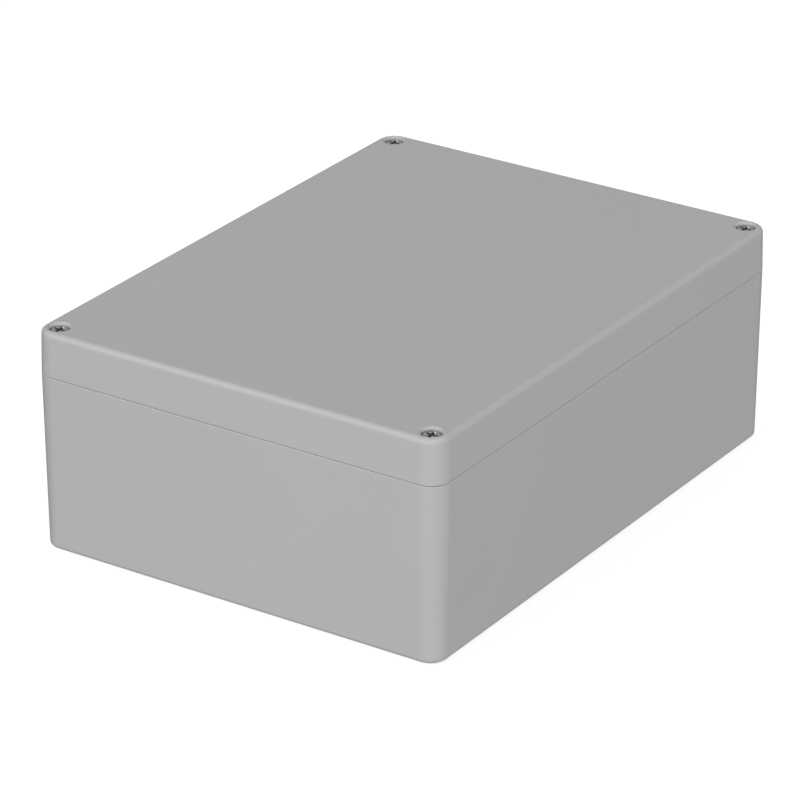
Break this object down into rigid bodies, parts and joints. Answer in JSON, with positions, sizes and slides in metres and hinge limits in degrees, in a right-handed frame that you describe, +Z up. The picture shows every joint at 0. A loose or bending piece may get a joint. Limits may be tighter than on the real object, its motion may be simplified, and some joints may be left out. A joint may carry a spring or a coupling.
{
  "type": "polycarbonate enclosure",
  "caption": "Rectangular sealed enclosure: drafted base and lift-off lid with a gasketed tongue and groove, held by captive corner screws, with wall fixing holes.",
  "frame": {"origin": "middle of the underside", "axes": "+X along the long side, +Y along the short side, +Z up through the lid"},
  "size_m": [0.2, 0.15, 0.075],
  "materials": {
    "housing": "light grey moulded polycarbonate, fine matt texture",
    "gasket": "black foam rubber",
    "screw_steel": "stainless steel, lightly turned",
    "insert_brass": "turned brass"
  },
  "bodies": {
    "base": {"base": "housing", "threaded_inserts": "insert_brass"},
    "lid": {"lid": "housing", "gasket": "gasket"},
    "lid_screw_front_left": {"lid_screw_front_left": "screw_steel"},
    "lid_screw_front_right": {"lid_screw_front_right": "screw_steel"},
    "lid_screw_rear_left": {"lid_screw_rear_left": "screw_steel"},
    "lid_screw_rear_right": {"lid_screw_rear_right": "screw_steel"}
  },
  "joints": [
    {"name": "lid_lift", "type": "slide", "parent": "base", "child": "lid", "axis": [0, 0, 1], "range_m": [0, 0.12]},
    {"name": "lid_screw_front_left_back_out", "type": "slide", "parent": "lid", "child": "lid_screw_front_left", "axis": [0, 0, 1], "range_m": [0, 0.01]},
    {"name": "lid_screw_front_right_back_out", "type": "slide", "parent": "lid", "child": "lid_screw_front_right", "axis": [0, 0, 1], "range_m": [0, 0.01]},
    {"name": "lid_screw_rear_left_back_out", "type": "slide", "parent": "lid", "child": "lid_screw_rear_left", "axis": [0, 0, 1], "range_m": [0, 0.01]},
    {"name": "lid_screw_rear_right_back_out", "type": "slide", "parent": "lid", "child": "lid_screw_rear_right", "axis": [0, 0, 1], "range_m": [0, 0.01]}
  ]
}
